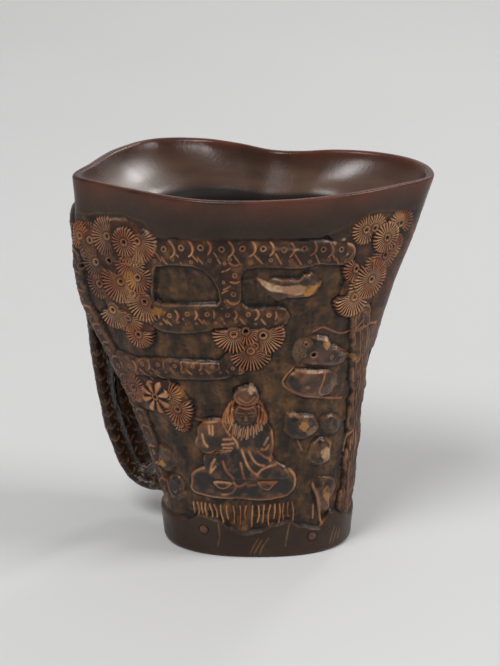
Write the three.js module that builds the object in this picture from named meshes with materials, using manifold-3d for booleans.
import * as THREE from 'three';
import { mergeVertices } from 'three/addons/utils/BufferGeometryUtils.js';
import Module from 'manifold-3d';

// A carved horn libation cup in millimetres, +Z up, standing on z = 0 with the foot's centre at the origin.
// +X is the pouring side. Azimuths are degrees round +Z from +X. A height share is a height over CUP_HEIGHT.

// Driving dimensions of the vessel
const CUP_HEIGHT = 122.6;
const MOUTH_REACH = 57.5;
const FOOT_HALF_LENGTH = 30.9;
const FOOT_HALF_WIDTH = 20.6;
const FOOT_SQUARENESS = 2.35;
const FOOT_EDGE = 1.4;
const LIP_THICKNESS = 2.6;
const LIP_EDGE = 0.9;
const FOOT_WALL = 6.0;
const SWELL_RISE = 3.2;

// Base plug, its shoulder and its pegs
const PLUG_THICKNESS = 13.0;
const SHOULDER_STEP = 1.2;
const PLUG_CHAMFER = 0.8;
const PIN_DIAMETER = 2.8;
const PIN_GRIP = 4.5;
const PIN_PROUD = 0.15;
const FRONT_LEFT_PIN_HEIGHT = 9.2;
const FRONT_RIGHT_PIN_HEIGHT = 6.6;
const CLEARANCE = 0.3;
const OVERRUN = 1.0;

// Depth of the carved ground, and how far each kind of carving rises out of it
const GROUND_DEPTH = 1.3;
const BRANCH_RISE = 1.6;
const CLUSTER_RISE = 2.1;
const ROCK_RISE = 1.8;
const FIGURE_RISE = 2.3;
const BAND_EASE = 2.0;
const PLATE_EDGE = 1.6;
const BRANCH_HALF_WIDTH = 4.6;
const CLUSTER_RADIUS = 5.6;

// The handle: two bent pine trunks grown together at both ends, twigs between them, a tenon at each end
const HANDLE_AZIMUTH = 160;
const HANDLE_WIDTH = 10.5;
const HANDLE_THICKNESS = 5.2;
const HANDLE_STAND_OFF = 15.4;
const REAR_TRUNK_BOW = 13.5;
const TWIG_DIAMETER = 4.8;
const TENON_WIDTH = 6.6;
const TENON_HEIGHT = 3.0;
const TENON_DEPTH = 3.4;

// Faceting
const COLUMNS = 112;
const CARVED_ROWS = 35;
const HANDLE_SIDES = 12;
const HANDLE_STEPS = 30;
const PIN_SIDES = 14;
const TENON_SIDES = 12;
const MOUTH_SAMPLES = 720;

// Mouth outline: azimuth, share of the mouth's reach. It narrows to a waist between the two lobes.
const mouthShares = [
  [181, 1], [166, 0.96], [146, 0.98], [128, 0.99], [112.6, 0.86], [99, 0.69], [81, 0.54], [64, 0.56],
  [50, 0.695], [36, 0.825], [22, 0.925], [9, 0.965], [-3, 0.945], [-13, 0.82], [-36, 0.645], [-64, 0.557],
  [-95, 0.548], [-123, 0.609], [-151, 0.713], [-168, 0.861],
];

// Share of the way from foot outline to mouth outline, at each height share, on three sides of the cup
const flareHeightShares = [0, 0.12, 0.25, 0.4, 0.55, 0.7, 0.85, 1, 1.1];
const handleSideShares = [0, 0.07, 0.22, 0.45, 0.69, 0.86, 0.95, 1, 1.03];
const pouringSideShares = [0, 0.05, 0.11, 0.175, 0.3, 0.5, 0.77, 1, 1.17];
const flankShares = [0, 0.08, 0.2, 0.34, 0.49, 0.65, 0.82, 1, 1.12];

// Broad swellings of the horn: azimuth, height share, half width in degrees, half height share, rise share
const swellShares = [[-177, 0.71, 30, 0.24, 1]];

// The inside: a wide funnel under the lip and a narrow deep well below it
const wellHeightShares = [0.108, 0.3, 0.5, 0.7, 0.83, 0.885, 0.905, 0.93, 0.96, 0.985];
const wellOpenShares = [0, 0.07, 0.17, 0.29, 0.37, 0.42, 0.5, 0.7, 0.87, 0.97];

// Edge of the plain rim band and of the plain foot band: azimuth, height share
const rimBandShares = [
  [-174, 0.905], [-169, 0.918], [-160, 0.93], [-151, 0.922], [-144, 0.888], [-129, 0.894], [-110, 0.9],
  [-89, 0.901], [-70, 0.897], [-54, 0.893], [-45, 0.905], [-38, 0.918], [-26, 0.94], [-9, 0.923], [5, 0.9],
  [30, 0.915], [60, 0.895], [90, 0.9], [120, 0.91], [150, 0.9], [172, 0.9],
];
const footBandShares = [
  [-146, 0.093], [-134, 0.116], [-123, 0.106], [-112, 0.082], [-102, 0.068], [-88, 0.078], [-78, 0.095],
  [-63, 0.104], [-55, 0.087], [-40, 0.072], [-33, 0.112], [-11, 0.078], [12, 0.092], [32, 0.112],
  [52, 0.08], [76, 0.1], [100, 0.076], [126, 0.1], [150, 0.088], [172, 0.09],
];

// Height shares between which the outside has its evenly spaced rows
const carvedHeightShares = { low: 0.035, high: 0.955 };

// Branches and stems: route as azimuth and height share, then width share at the start and at the end
const branchShares = [
  {
    route: [
      [-154, 0.85], [-142, 0.85], [-121, 0.865], [-100, 0.866], [-77, 0.864], [-54, 0.855], [-38, 0.845],
    ],
    width: [1, 0.9],
  },
  { route: [[-105, 0.845], [-106, 0.783], [-107, 0.715]], width: [0.74, 0.74] },
  {
    route: [[-154, 0.675], [-147, 0.672], [-129, 0.688], [-107, 0.694], [-88, 0.692], [-75, 0.688]],
    width: [0.7, 0.66],
  },
  {
    route: [[-177, 0.48], [-165, 0.505], [-154, 0.527], [-131, 0.545], [-111, 0.55], [-102, 0.548]],
    width: [0.8, 0.45],
  },
  {
    route: [[-179, 0.84], [-178, 0.7], [-175, 0.55], [-172, 0.42], [-168, 0.3], [-162, 0.17]],
    width: [0.85, 0.75],
  },
  { route: [[-22, 0.66], [-17, 0.5], [-15, 0.4], [-15, 0.3], [-16, 0.2], [-18, 0.12]], width: [1, 0.9] },
  {
    route: [[163, 0.8], [150, 0.84], [130, 0.855], [105, 0.85], [80, 0.86], [56, 0.845]],
    width: [0.95, 0.8],
  },
  { route: [[112, 0.85], [110, 0.76], [108, 0.68]], width: [0.7, 0.66] },
  { route: [[153, 0.62], [135, 0.66], [115, 0.675], [95, 0.665], [74, 0.68]], width: [0.75, 0.6] },
  { route: [[153, 0.43], [130, 0.47], [105, 0.485], [84, 0.48]], width: [0.65, 0.4] },
  { route: [[16, 0.66], [14, 0.5], [17, 0.36], [14, 0.22], [17, 0.12]], width: [0.85, 0.8] },
];

// Broad raised places that the branches and the needle clusters stand on: rise as a share of CLUSTER_RISE,
// and a closed outline as azimuth and height share
const plateShares = [
  {
    rise: 0.72,
    outline: [
      [-148, 0.88], [-121, 0.89], [-88, 0.89], [-54, 0.88], [-52, 0.85], [-56, 0.82], [-96, 0.82],
      [-100, 0.79], [-100, 0.74], [-96, 0.72], [-72, 0.715], [-70, 0.69], [-74, 0.66], [-107, 0.66],
      [-150, 0.64], [-150, 0.76],
    ],
  },
  {
    rise: 0.72,
    outline: [
      [-172, 0.54], [-154, 0.54], [-118, 0.56], [-106, 0.61], [-100, 0.58], [-106, 0.53], [-132, 0.51],
      [-171, 0.5],
    ],
  },
  {
    rise: 0.9,
    outline: [
      [-177, 0.85], [-171, 0.89], [-163, 0.925], [-155, 0.93], [-148, 0.9], [-144, 0.87], [-146, 0.82],
      [-164, 0.79], [-175, 0.79],
    ],
  },
  {
    rise: 0.8,
    outline: [[-171, 0.8], [-148, 0.82], [-147, 0.7], [-151, 0.62], [-158, 0.59], [-165, 0.62], [-169, 0.7]],
  },
  { rise: 0.7, outline: [[-111, 0.68], [-78, 0.68], [-79, 0.63], [-95, 0.56], [-110, 0.62]] },
  {
    rise: 0.7,
    outline: [
      [-37, 0.92], [-27, 0.94], [-12, 0.94], [-10, 0.88], [-12, 0.75], [-18, 0.69], [-31, 0.69],
      [-38, 0.73], [-33, 0.8], [-34, 0.87],
    ],
  },
  { rise: 0.6, outline: [[-14, 0.94], [8, 0.92], [10, 0.8], [6, 0.6], [-18, 0.6], [-14, 0.7]] },
  {
    rise: 0.7,
    outline: [
      [-170, 0.48], [-155, 0.5], [-143, 0.49], [-135, 0.45], [-136, 0.38], [-145, 0.36], [-154, 0.39],
      [-170, 0.39],
    ],
  },
  {
    rise: 0.5,
    outline: [
      [158, 0.8], [162, 0.9], [172, 0.92], [-179, 0.9], [-175, 0.8], [-178, 0.7], [172, 0.68], [162, 0.7],
    ],
  },
  { rise: 0.4, outline: [[12, 0.92], [44, 0.93], [46, 0.84], [38, 0.7], [14, 0.68]] },
];

// Windows cut back to the ground between the branches: a closed outline as azimuth and height share
const windowShares = [
  [
    [-144, 0.81], [-127, 0.83], [-120, 0.815], [-115, 0.78], [-114, 0.73], [-119, 0.715], [-145, 0.71],
    [-147, 0.76],
  ],
];

// Needle clusters: azimuth, height share, radius share, rise share
const clusterShares = [
  [-175, 0.85, 0.9, 1], [-166, 0.87, 1.1, 1], [-158, 0.86, 0.85, 1.15], [-153, 0.85, 1.2, 1],
  [-169, 0.79, 0.9, 0.9], [-150, 0.78, 0.7, 0.9], [-153, 0.78, 0.95, 1], [-160, 0.76, 1.25, 1.05],
  [-151, 0.71, 1.15, 1.05], [-164, 0.67, 1.15, 1], [-156, 0.62, 0.85, 0.95], [-95, 0.61, 1.25, 0.95],
  [-106, 0.65, 1.15, 1], [-87, 0.65, 1.15, 1], [-168, 0.45, 0.8, 0.8], [-154, 0.44, 0.95, 1.05],
  [-142, 0.42, 0.85, 0.9], [-140, 0.38, 0.5, 0.7], [-13, 0.89, 0.8, 1], [-28, 0.9, 0.85, 1.05],
  [-17, 0.82, 0.9, 0.95], [-18, 0.87, 0.95, 1.15], [-32, 0.8, 0.7, 0.9], [-22, 0.76, 1.2, 1.1],
  [-30, 0.72, 1.2, 1.05], [150, 0.76, 0.9, 1.1], [137, 0.77, 1, 1.1], [143, 0.7, 0.85, 1], [95, 0.6, 1, 1],
  [81, 0.63, 1, 1], [88, 0.555, 0.9, 1], [40, 0.88, 0.9, 1], [30, 0.85, 1, 1.05], [21, 0.775, 1, 1],
  [32, 0.735, 0.9, 1], [62, 0.785, 0.8, 0.9], [150, 0.37, 0.8, 1], [139, 0.4, 0.85, 1],
  [127, 0.36, 0.75, 0.9],
];

// Rounded carvings: azimuth, height share, half width in degrees, half height share, tilt, rise share
const rockShares = [
  [-44, 0.58, 25, 0.056, 6, 1], [-49, 0.495, 23, 0.044, 0, 1.05], [-58, 0.385, 15, 0.046, 0, 1],
  [-35, 0.368, 10, 0.036, 0, 0.75], [-43, 0.295, 11, 0.047, 0, 0.95], [-39, 0.175, 11, 0.055, 0, 0.95],
  [-70, 0.765, 23, 0.036, -6, 0.7], [-158, 0.25, 12, 0.052, 0, 0.7],
  [38, 0.585, 16, 0.046, 0, 1], [34, 0.49, 12, 0.04, 0, 0.9], [52, 0.42, 14, 0.045, 0, 1],
  [36, 0.33, 12, 0.045, 0, 1], [46, 0.21, 14, 0.05, 0, 1], [74, 0.17, 14, 0.036, 0, 0.85],
  [66, 0.3, 12, 0.036, 0, 0.8], [104, 0.18, 15, 0.045, 0, 1], [120, 0.27, 14, 0.036, 0, 0.85],
  [96, 0.38, 17, 0.04, 0, 0.8], [140, 0.165, 12, 0.04, 0, 0.9],
];

// The seated figure on its mat, from the mat up: the same six values, rise as a share of FIGURE_RISE
const figureShares = [
  [-99, 0.22, 41, 0.055, 0, 0.48], [-98, 0.275, 32, 0.055, 0, 0.85], [-100, 0.375, 21, 0.075, 0, 0.95],
  [-122, 0.35, 12, 0.052, 0, 1.05], [-84, 0.345, 7, 0.06, 0, 1.02], [-99, 0.405, 13, 0.045, 0, 0.95],
  [-98, 0.425, 8, 0.036, 0, 1.2], [-98, 0.47, 9, 0.027, 0, 1.25], [-117, 0.214, 9, 0.016, 0, 0.8],
  [-81, 0.214, 9, 0.016, 0, 0.8],
];

// Handle centre line, from inside the horn at the top round to inside it at the foot: share of the stand-off
// from the horn's surface, share of the cup's height, and shares of the handle's width and thickness
const handlePathShares = [
  [-0.25, 0.876, 1.05, 0.9], [0.046, 0.879, 1.2, 1.05], [0.3, 0.876, 1.15, 1.1], [0.46, 0.858, 1.05, 1.05],
  [0.53, 0.815, 1, 1], [0.53, 0.755, 0.95, 0.95], [0.53, 0.68, 1.05, 1.08], [0.57, 0.6, 0.95, 0.98],
  [0.67, 0.52, 1, 1], [0.81, 0.44, 1.06, 1.06], [0.93, 0.37, 0.96, 0.96], [1, 0.29, 1, 1],
  [0.98, 0.225, 1.04, 1.04], [0.91, 0.165, 1.06, 1.02], [0.72, 0.125, 1.1, 1], [0.42, 0.11, 1.2, 1.05],
  [0.09, 0.108, 1.2, 0.95], [-0.17, 0.108, 1.05, 0.85],
];
const tenonHeightShares = { top: 0.876, foot: 0.108 };

// The handle's two trunks: degrees that one bows round from the tenons, and shares of its stand-off and width
const trunks = [
  { bow: 0, standOffShare: 1, widthShare: 1 },
  { bow: REAR_TRUNK_BOW, standOffShare: 0.96, widthShare: 1.1 },
];

// Twigs between the trunks: where each leaves the first and meets the second, as shares of the way down
const twigShares = [[0.3, 0.385], [0.53, 0.45], [0.64, 0.73]];

const radians = THREE.MathUtils.degToRad;

const wrapDegrees = (angle) => THREE.MathUtils.euclideanModulo(angle + 180, 360) - 180;

// A curve through the given points that never overshoots them
function steadyCurve(places, values) {
  const gaps = places.slice(1).map((place, i) => place - places[i]);
  const slopes = gaps.map((gap, i) => (values[i + 1] - values[i]) / gap);
  const ends = [slopes[0], slopes[slopes.length - 1]];
  const tangents = places.map((place, i) => {
    if (i === 0 || i === places.length - 1) return ends[i === 0 ? 0 : 1];
    const [before, after] = [slopes[i - 1], slopes[i]];
    return before * after <= 0 ? 0 : (2 * before * after) / (before + after);
  });
  return (place) => {
    let i = 0;
    while (i < gaps.length - 1 && place > places[i + 1]) i += 1;
    const s = (place - places[i]) / gaps[i];
    const rest = 1 - s;
    return values[i] * rest * rest * (1 + 2 * s) + values[i + 1] * s * s * (3 - 2 * s)
      + gaps[i] * (tangents[i] * s * rest * rest - tangents[i + 1] * s * s * rest);
  };
}

// Value at any azimuth, eased between the neighbouring points of a closed table
function aroundCurve(table) {
  const points = [...table].sort((a, b) => a[0] - b[0]);
  return (azimuth) => {
    const angle = wrapDegrees(azimuth);
    let next = points.findIndex((point) => point[0] >= angle);
    if (next < 0) next = 0;
    const last = (next + points.length - 1) % points.length;
    const span = THREE.MathUtils.euclideanModulo(points[next][0] - points[last][0], 360);
    const share = THREE.MathUtils.euclideanModulo(angle - points[last][0], 360) / span;
    return THREE.MathUtils.lerp(points[last][1], points[next][1], share * share * (3 - 2 * share));
  };
}

// Mouth radius by azimuth, from one smooth closed curve through the outline's points
function mouthCurve() {
  const outline = mouthShares.map(([azimuth, share]) => new THREE.Vector3(
    share * Math.cos(radians(azimuth)), share * Math.sin(radians(azimuth)), 0));
  const curve = new THREE.CatmullRomCurve3(outline, true, 'centripetal');
  const samples = curve.getPoints(MOUTH_SAMPLES).slice(0, MOUTH_SAMPLES)
    .map((point) => [Math.atan2(point.y, point.x), Math.hypot(point.x, point.y)])
    .sort((a, b) => a[0] - b[0]);
  const turn = 2 * Math.PI;
  return (azimuth) => {
    const angle = radians(wrapDegrees(azimuth));
    let next = samples.findIndex((sample) => sample[0] >= angle);
    if (next < 0) next = 0;
    const last = (next + samples.length - 1) % samples.length;
    const span = THREE.MathUtils.euclideanModulo(samples[next][0] - samples[last][0], turn);
    const share = THREE.MathUtils.euclideanModulo(angle - samples[last][0], turn) / span;
    return MOUTH_REACH * THREE.MathUtils.lerp(samples[last][1], samples[next][1], share);
  };
}

const mouthRadius = mouthCurve();
const handleSide = steadyCurve(flareHeightShares, handleSideShares);
const pouringSide = steadyCurve(flareHeightShares, pouringSideShares);
const flank = steadyCurve(flareHeightShares, flankShares);
const wellOpen = steadyCurve(wellHeightShares, wellOpenShares);
const rimBand = aroundCurve(rimBandShares);
const footBand = aroundCurve(footBandShares);

function footRadius(azimuth) {
  const x = Math.abs(Math.cos(radians(azimuth)) / FOOT_HALF_LENGTH);
  const y = Math.abs(Math.sin(radians(azimuth)) / FOOT_HALF_WIDTH);
  return (x ** FOOT_SQUARENESS + y ** FOOT_SQUARENESS) ** (-1 / FOOT_SQUARENESS);
}

// How far the horn swells out where the trunk of the handle grows from it
function swelling(azimuth, height) {
  let rise = 0;
  for (const [atAzimuth, atHeight, halfDegrees, halfShare, riseShare] of swellShares) {
    const across = Math.min(1, Math.abs(wrapDegrees(azimuth - atAzimuth)) / halfDegrees);
    const up = Math.min(1, Math.abs(height - atHeight) / halfShare);
    rise += riseShare * SWELL_RISE * (1 - across * across) ** 2 * (1 - up * up) ** 2;
  }
  return rise;
}

// The uncut horn's radius: a loft from the foot outline to the mouth outline
function hornRadius(azimuth, height) {
  const side = Math.cos(radians(azimuth));
  const towardsHandle = Math.max(0, -side) ** 2;
  const towardsPour = Math.max(0, side) ** 2;
  const share = towardsHandle * handleSide(height) + towardsPour * pouringSide(height)
    + (1 - towardsHandle - towardsPour) * flank(height);
  return THREE.MathUtils.lerp(footRadius(azimuth), mouthRadius(azimuth), share) + swelling(azimuth, height);
}

function innerRadius(azimuth, height) {
  const low = footRadius(azimuth) - FOOT_WALL - SHOULDER_STEP;
  return THREE.MathUtils.lerp(low, mouthRadius(azimuth) - LIP_THICKNESS, wellOpen(height));
}

// Distances in millimetres along the surface from one place to another
function surfaceOffset(azimuth, height, toAzimuth, toHeight) {
  const across = radians(wrapDegrees(azimuth - toAzimuth)) * hornRadius(toAzimuth, toHeight);
  return [across, (height - toHeight) * CUP_HEIGHT];
}

// How far inside a closed outline a place lies, in millimetres along the surface, and under zero outside it
function outlineDepth(outline, azimuth, height) {
  const [start] = outline[0];
  const turn = wrapDegrees(azimuth - start);
  const radius = hornRadius(azimuth, height);
  const corners = outline.map(([cornerAzimuth, cornerHeight]) => [
    radians(wrapDegrees(cornerAzimuth - start) - turn) * radius, (cornerHeight - height) * CUP_HEIGHT]);
  let depth = Infinity;
  let inside = false;
  corners.forEach(([bx, by], i) => {
    const [ax, ay] = corners[(i + corners.length - 1) % corners.length];
    const [dx, dy] = [bx - ax, by - ay];
    const along = THREE.MathUtils.clamp(-(ax * dx + ay * dy) / (dx * dx + dy * dy), 0, 1);
    depth = Math.min(depth, Math.hypot(ax + along * dx, ay + along * dy));
    if (ay > 0 !== by > 0 && ax - (ay * dx) / dy > 0) inside = !inside;
  });
  return inside ? depth : -depth;
}

const domed = (reach) => (reach < 1 ? Math.sqrt(1 - reach * reach) : 0);
const cushioned = (reach) => (reach < 1 ? 1 - reach ** 4 : 0);

function branchRise(branch, azimuth, height) {
  const { route, width } = branch;
  let rise = 0;
  for (let i = 0; i < route.length - 1; i += 1) {
    const [ax, ay] = surfaceOffset(route[i][0], route[i][1], azimuth, height);
    const [bx, by] = surfaceOffset(route[i + 1][0], route[i + 1][1], azimuth, height);
    const [dx, dy] = [bx - ax, by - ay];
    const along = THREE.MathUtils.clamp(-(ax * dx + ay * dy) / (dx * dx + dy * dy), 0, 1);
    const share = THREE.MathUtils.lerp(width[0], width[1], (i + along) / (route.length - 1));
    const reach = Math.hypot(ax + along * dx, ay + along * dy) / (share * BRANCH_HALF_WIDTH);
    rise = Math.max(rise, BRANCH_RISE * domed(reach));
  }
  return rise;
}

function clusterRise([atAzimuth, atHeight, radiusShare, riseShare], azimuth, height) {
  const [across, up] = surfaceOffset(azimuth, height, atAzimuth, atHeight);
  return riseShare * CLUSTER_RISE * cushioned(Math.hypot(across, up) / (radiusShare * CLUSTER_RADIUS));
}

function plateRise({ rise, outline }, azimuth, height) {
  const share = THREE.MathUtils.clamp(outlineDepth(outline, azimuth, height) / PLATE_EDGE, 0, 1);
  return rise * CLUSTER_RISE * domed(1 - share);
}

function moundRise([atAzimuth, atHeight, halfDegrees, halfShare, tilt, riseShare], azimuth, height) {
  const across = wrapDegrees(azimuth - atAzimuth) / halfDegrees;
  const up = (height - atHeight) / halfShare;
  const lean = up - across * Math.tan(radians(tilt));
  return riseShare * cushioned(Math.sqrt(across * across + lean * lean));
}

// Height of the carved surface over or under the uncut horn
function carving(azimuth, height) {
  const intoBand = ((height - rimBand(azimuth)) * CUP_HEIGHT) / BAND_EASE + 0.5;
  const intoFoot = ((footBand(azimuth) - height) * CUP_HEIGHT) / BAND_EASE + 0.5;
  const plain = THREE.MathUtils.smoothstep(Math.max(intoBand, intoFoot), 0, 1);
  if (plain === 1) return 0;
  let rise = 0;
  for (const plate of plateShares) rise = Math.max(rise, plateRise(plate, azimuth, height));
  for (const branch of branchShares) rise = Math.max(rise, branchRise(branch, azimuth, height));
  for (const outline of windowShares) {
    rise *= 1 - THREE.MathUtils.smoothstep(outlineDepth(outline, azimuth, height) / PLATE_EDGE, 0, 1);
  }
  for (const cluster of clusterShares) rise = Math.max(rise, clusterRise(cluster, azimuth, height));
  for (const rock of rockShares) rise = Math.max(rise, ROCK_RISE * moundRise(rock, azimuth, height));
  for (const fold of figureShares) rise = Math.max(rise, FIGURE_RISE * moundRise(fold, azimuth, height));
  return THREE.MathUtils.lerp(rise - GROUND_DEPTH, 0, plain);
}

function ringOf(count, radiusAt, z) {
  return Array.from({ length: count }, (_, i) => {
    const azimuth = (360 * i) / count;
    const radius = radiusAt(azimuth);
    return [radius * Math.cos(radians(azimuth)), radius * Math.sin(radians(azimuth)), z];
  });
}

// Joins a stack of rings into one skin. Neighbouring rings have equal counts, or one has half the other's.
function skinOf(rings, closed) {
  const positions = rings.flat(2);
  const starts = [];
  let total = 0;
  for (const ring of rings) {
    starts.push(total);
    total += ring.length;
  }
  const faces = [];
  const joins = closed ? rings.length : rings.length - 1;
  for (let k = 0; k < joins; k += 1) {
    const next = (k + 1) % rings.length;
    const [lowCount, highCount] = [rings[k].length, rings[next].length];
    const steps = Math.max(lowCount, highCount);
    const low = (i) => starts[k] + (Math.floor((i * lowCount) / steps) % lowCount);
    const high = (i) => starts[next] + (Math.floor((i * highCount) / steps) % highCount);
    for (let i = 0; i < steps; i += 1) {
      if (low(i) !== low(i + 1)) faces.push(low(i), low(i + 1), high(i + 1));
      if (high(i) !== high(i + 1)) faces.push(low(i), high(i + 1), high(i));
    }
  }
  return { positions, faces };
}

function cappedSkin(rings) {
  const { positions, faces } = skinOf(rings, false);
  const addCap = (ring, start, upward) => {
    const middle = [0, 1, 2].map((axis) => ring.reduce((sum, point) => sum + point[axis], 0) / ring.length);
    const centre = positions.length / 3;
    positions.push(...middle);
    for (let i = 0; i < ring.length; i += 1) {
      const [a, b] = [start + i, start + ((i + 1) % ring.length)];
      faces.push(...(upward ? [a, b, centre] : [b, a, centre]));
    }
  };
  addCap(rings[0], 0, false);
  const last = rings[rings.length - 1];
  addCap(last, rings.slice(0, -1).reduce((sum, ring) => sum + ring.length, 0), true);
  return { positions, faces };
}

function geometryOf({ positions, faces }) {
  const geometry = new THREE.BufferGeometry();
  geometry.setAttribute('position', new THREE.Float32BufferAttribute(positions, 3));
  geometry.setIndex(faces);
  return geometry;
}

const wasm = await Module();
wasm.setup();

function solidOf(source) {
  const bare = source.clone();
  bare.deleteAttribute('normal');
  bare.deleteAttribute('uv');
  const merged = mergeVertices(bare);
  return new wasm.Manifold(new wasm.Mesh({
    numProp: 3,
    vertProperties: new Float32Array(merged.attributes.position.array),
    triVerts: new Uint32Array(merged.index.array),
  }));
}

function geometryFrom(solid) {
  const mesh = solid.getMesh();
  return geometryOf({ positions: Array.from(mesh.vertProperties), faces: Array.from(mesh.triVerts) });
}

// Height shares of the outer rows, closest together where the carving is
function outerHeights() {
  const carved = Array.from({ length: CARVED_ROWS }, (_, i) => (
    THREE.MathUtils.lerp(carvedHeightShares.low, carvedHeightShares.high, i / (CARVED_ROWS - 1))));
  return [FOOT_EDGE / CUP_HEIGHT, ...carved, 1 - LIP_EDGE / CUP_HEIGHT];
}

function outerRings(grow) {
  return outerHeights().map((height) => ringOf(
    COLUMNS,
    (azimuth) => hornRadius(azimuth, height) + carving(azimuth, height) + grow,
    height * CUP_HEIGHT));
}

// The vessel: outside up, over the lip, down the funnel and well, out at the shoulder, down the plug's seat
function vesselGeometry() {
  const half = COLUMNS / 2;
  const shoulder = PLUG_THICKNESS + CLEARANCE;
  const seat = (azimuth) => footRadius(azimuth) - FOOT_WALL;
  const wellRows = wellHeightShares.filter((height) => height * CUP_HEIGHT > shoulder).reverse();
  const rings = [
    ringOf(COLUMNS, (azimuth) => footRadius(azimuth) - FOOT_EDGE, 0),
    ...outerRings(0),
    ringOf(COLUMNS, (azimuth) => mouthRadius(azimuth) - LIP_EDGE, CUP_HEIGHT),
    ringOf(half, (azimuth) => mouthRadius(azimuth) - LIP_THICKNESS + LIP_EDGE, CUP_HEIGHT),
    ...wellRows.map((height) => ringOf(half, (azimuth) => innerRadius(azimuth, height), height * CUP_HEIGHT)),
    ringOf(half, (azimuth) => seat(azimuth) - SHOULDER_STEP, shoulder),
    ringOf(half, seat, shoulder),
    ringOf(half, seat, 0),
  ];
  return geometryOf(skinOf(rings, true));
}

function plugGeometry() {
  const count = COLUMNS / 2;
  const side = (azimuth) => footRadius(azimuth) - FOOT_WALL - CLEARANCE;
  const eased = (azimuth) => side(azimuth) - PLUG_CHAMFER;
  return geometryOf(cappedSkin([
    ringOf(count, side, 0),
    ringOf(count, side, PLUG_THICKNESS - PLUG_CHAMFER),
    ringOf(count, eased, PLUG_THICKNESS),
  ]));
}

// Outward direction, square to the foot outline at an azimuth
function footNormal(azimuth) {
  const x = Math.cos(radians(azimuth)) * footRadius(azimuth);
  const y = Math.sin(radians(azimuth)) * footRadius(azimuth);
  const power = FOOT_SQUARENESS - 1;
  return new THREE.Vector3(
    Math.sign(x) * Math.abs(x / FOOT_HALF_LENGTH) ** power / FOOT_HALF_LENGTH,
    Math.sign(y) * Math.abs(y / FOOT_HALF_WIDTH) ** power / FOOT_HALF_WIDTH, 0).normalize();
}

const pins = [
  { name: 'foot_pin_front_left', azimuth: -133, height: FRONT_LEFT_PIN_HEIGHT },
  { name: 'foot_pin_front_right', azimuth: -46, height: FRONT_RIGHT_PIN_HEIGHT },
  { name: 'foot_pin_back_right', azimuth: 47, height: FRONT_RIGHT_PIN_HEIGHT },
  { name: 'foot_pin_back_left', azimuth: 133, height: FRONT_LEFT_PIN_HEIGHT },
];

// A round rod square to the foot outline, from a depth under the surface to a height over it
function pinRod({ azimuth, height }, radius, below, above) {
  const out = footNormal(azimuth);
  const surface = hornRadius(azimuth, height / CUP_HEIGHT);
  const length = below + above;
  const rod = new THREE.CylinderGeometry(radius, radius, length, PIN_SIDES);
  rod.applyQuaternion(new THREE.Quaternion().setFromUnitVectors(new THREE.Vector3(0, 1, 0), out));
  const centre = new THREE.Vector3(
    surface * Math.cos(radians(azimuth)), surface * Math.sin(radians(azimuth)), height)
    .addScaledVector(out, above - length / 2);
  return rod.translate(centre.x, centre.y, centre.z);
}

const pinReach = FOOT_WALL + CLEARANCE + PIN_GRIP;
const pinGeometry = (pin) => pinRod(pin, PIN_DIAMETER / 2, pinReach, PIN_PROUD);
const pinHole = (pin) => pinRod(pin, PIN_DIAMETER / 2 + CLEARANCE, pinReach + CLEARANCE, OVERRUN);

const outwardAt = (azimuth) => new THREE.Vector3(Math.cos(radians(azimuth)), Math.sin(radians(azimuth)), 0);
const acrossAt = (azimuth) => new THREE.Vector3(-Math.sin(radians(azimuth)), Math.cos(radians(azimuth)), 0);
const trunkAzimuth = (trunk, s) => HANDLE_AZIMUTH - trunk.bow * Math.sin(Math.PI * s);
const worldUp = new THREE.Vector3(0, 0, 1);

// Centre line of one of the handle's trunks
function trunkCurve(trunk) {
  const points = handlePathShares.map(([standOff, height], i) => {
    const azimuth = trunkAzimuth(trunk, i / (handlePathShares.length - 1));
    const reach = hornRadius(azimuth, height) + standOff * trunk.standOffShare * HANDLE_STAND_OFF;
    return outwardAt(azimuth).multiplyScalar(reach).addScaledVector(worldUp, height * CUP_HEIGHT);
  });
  return new THREE.CatmullRomCurve3(points, false, 'centripetal');
}

// A trunk of the handle: an oval section carried along its centre line
function trunkGeometry(trunk) {
  const centres = trunkCurve(trunk);
  const places = handlePathShares.map((_, i) => i / (handlePathShares.length - 1));
  const widthAt = steadyCurve(places, handlePathShares.map((point) => point[2] * trunk.widthShare));
  const thicknessAt = steadyCurve(places, handlePathShares.map((point) => point[3]));
  const rings = Array.from({ length: HANDLE_STEPS + 1 }, (_, k) => {
    const s = k / HANDLE_STEPS;
    const centre = centres.getPoint(s);
    const across = acrossAt(trunkAzimuth(trunk, s));
    const outward = new THREE.Vector3().crossVectors(across, centres.getTangent(s)).normalize();
    return Array.from({ length: HANDLE_SIDES }, (__, i) => {
      const angle = (2 * Math.PI * i) / HANDLE_SIDES;
      return centre.clone()
        .addScaledVector(across, (Math.cos(angle) * widthAt(s) * HANDLE_WIDTH) / 2)
        .addScaledVector(outward, (Math.sin(angle) * thicknessAt(s) * HANDLE_THICKNESS) / 2)
        .toArray();
    });
  });
  return geometryOf(cappedSkin(rings.reverse()));
}

// A twig from the middle of one trunk to the middle of the other
function twigGeometry(endShares) {
  const [from, to] = trunks.map((trunk, i) => trunkCurve(trunk).getPoint(endShares[i]));
  const middle = from.clone().add(to).divideScalar(2);
  const along = to.clone().sub(from);
  const twig = new THREE.CylinderGeometry(TWIG_DIAMETER / 2, TWIG_DIAMETER / 2, along.length(), HANDLE_SIDES);
  twig.applyQuaternion(new THREE.Quaternion().setFromUnitVectors(
    new THREE.Vector3(0, 1, 0), along.normalize()));
  return twig.translate(middle.x, middle.y, middle.z);
}

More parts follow.
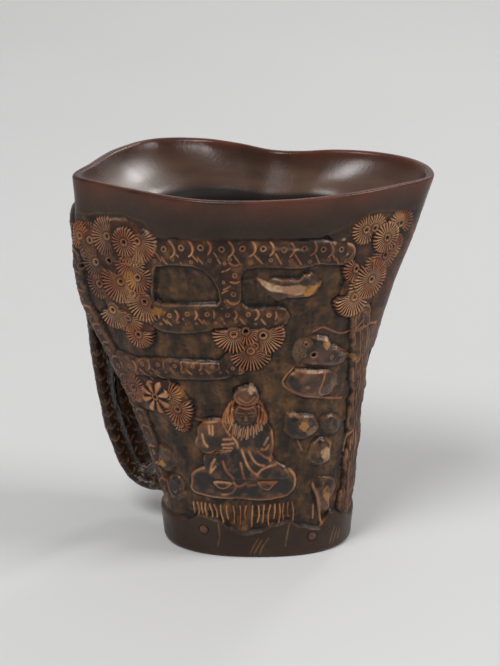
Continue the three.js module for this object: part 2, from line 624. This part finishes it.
// An oval rod pointing at the axis, from inside the handle's end to a depth under the horn's surface
function tenonGeometry(height, spare) {
  const surface = hornRadius(HANDLE_AZIMUTH, height) + carving(HANDLE_AZIMUTH, height);
  const inner = surface - TENON_DEPTH - spare;
  const outer = surface + HANDLE_THICKNESS / 2;
  const rod = new THREE.CylinderGeometry(1, 1, outer - inner, TENON_SIDES);
  rod.scale(TENON_HEIGHT / 2 + spare, 1, TENON_WIDTH / 2 + spare);
  const out = outwardAt(HANDLE_AZIMUTH);
  rod.applyMatrix4(new THREE.Matrix4().makeBasis(worldUp, out, acrossAt(HANDLE_AZIMUTH)));
  const centre = out.clone().multiplyScalar((inner + outer) / 2);
  return rod.translate(centre.x, centre.y, height * CUP_HEIGHT);
}

// The vessel's outer form grown by the running clearance, which the handle's ends are cut to sit against
function envelopeGeometry() {
  return geometryOf(cappedSkin(outerRings(CLEARANCE)));
}

function buildVessel() {
  let vessel = solidOf(vesselGeometry());
  for (const pin of pins) vessel = vessel.subtract(solidOf(pinHole(pin)));
  for (const height of Object.values(tenonHeightShares)) {
    vessel = vessel.subtract(solidOf(tenonGeometry(height, CLEARANCE)));
  }
  return geometryFrom(vessel);
}

function buildPlug() {
  let plug = solidOf(plugGeometry());
  for (const pin of pins) plug = plug.subtract(solidOf(pinHole(pin)));
  return geometryFrom(plug);
}

function buildHandle() {
  let handle = solidOf(trunkGeometry(trunks[0]));
  handle = handle.add(solidOf(trunkGeometry(trunks[1])));
  for (const endShares of twigShares) handle = handle.add(solidOf(twigGeometry(endShares)));
  handle = handle.subtract(solidOf(envelopeGeometry()));
  for (const height of Object.values(tenonHeightShares)) {
    handle = handle.add(solidOf(tenonGeometry(height, 0)));
  }
  return geometryFrom(handle);
}

function horn(color, roughness) {
  return new THREE.MeshStandardMaterial({ color, roughness, metalness: 0 });
}

const darkHorn = horn(0x2f2621, 0.38);
const redHorn = horn(0x3a231d, 0.42);
const plugHorn = horn(0x2a221f, 0.5);
const pegHorn = horn(0x4a3528, 0.45);

const cup = new THREE.Group();

function place(name, geometry, material) {
  const mesh = new THREE.Mesh(geometry, material);
  mesh.name = name;
  cup.add(mesh);
}

place('cup_body', buildVessel(), darkHorn);
place('foot_plug', buildPlug(), plugHorn);
place('branch_handle', buildHandle(), redHorn);
for (const pin of pins) place(pin.name, pinGeometry(pin), pegHorn);

export default cup;
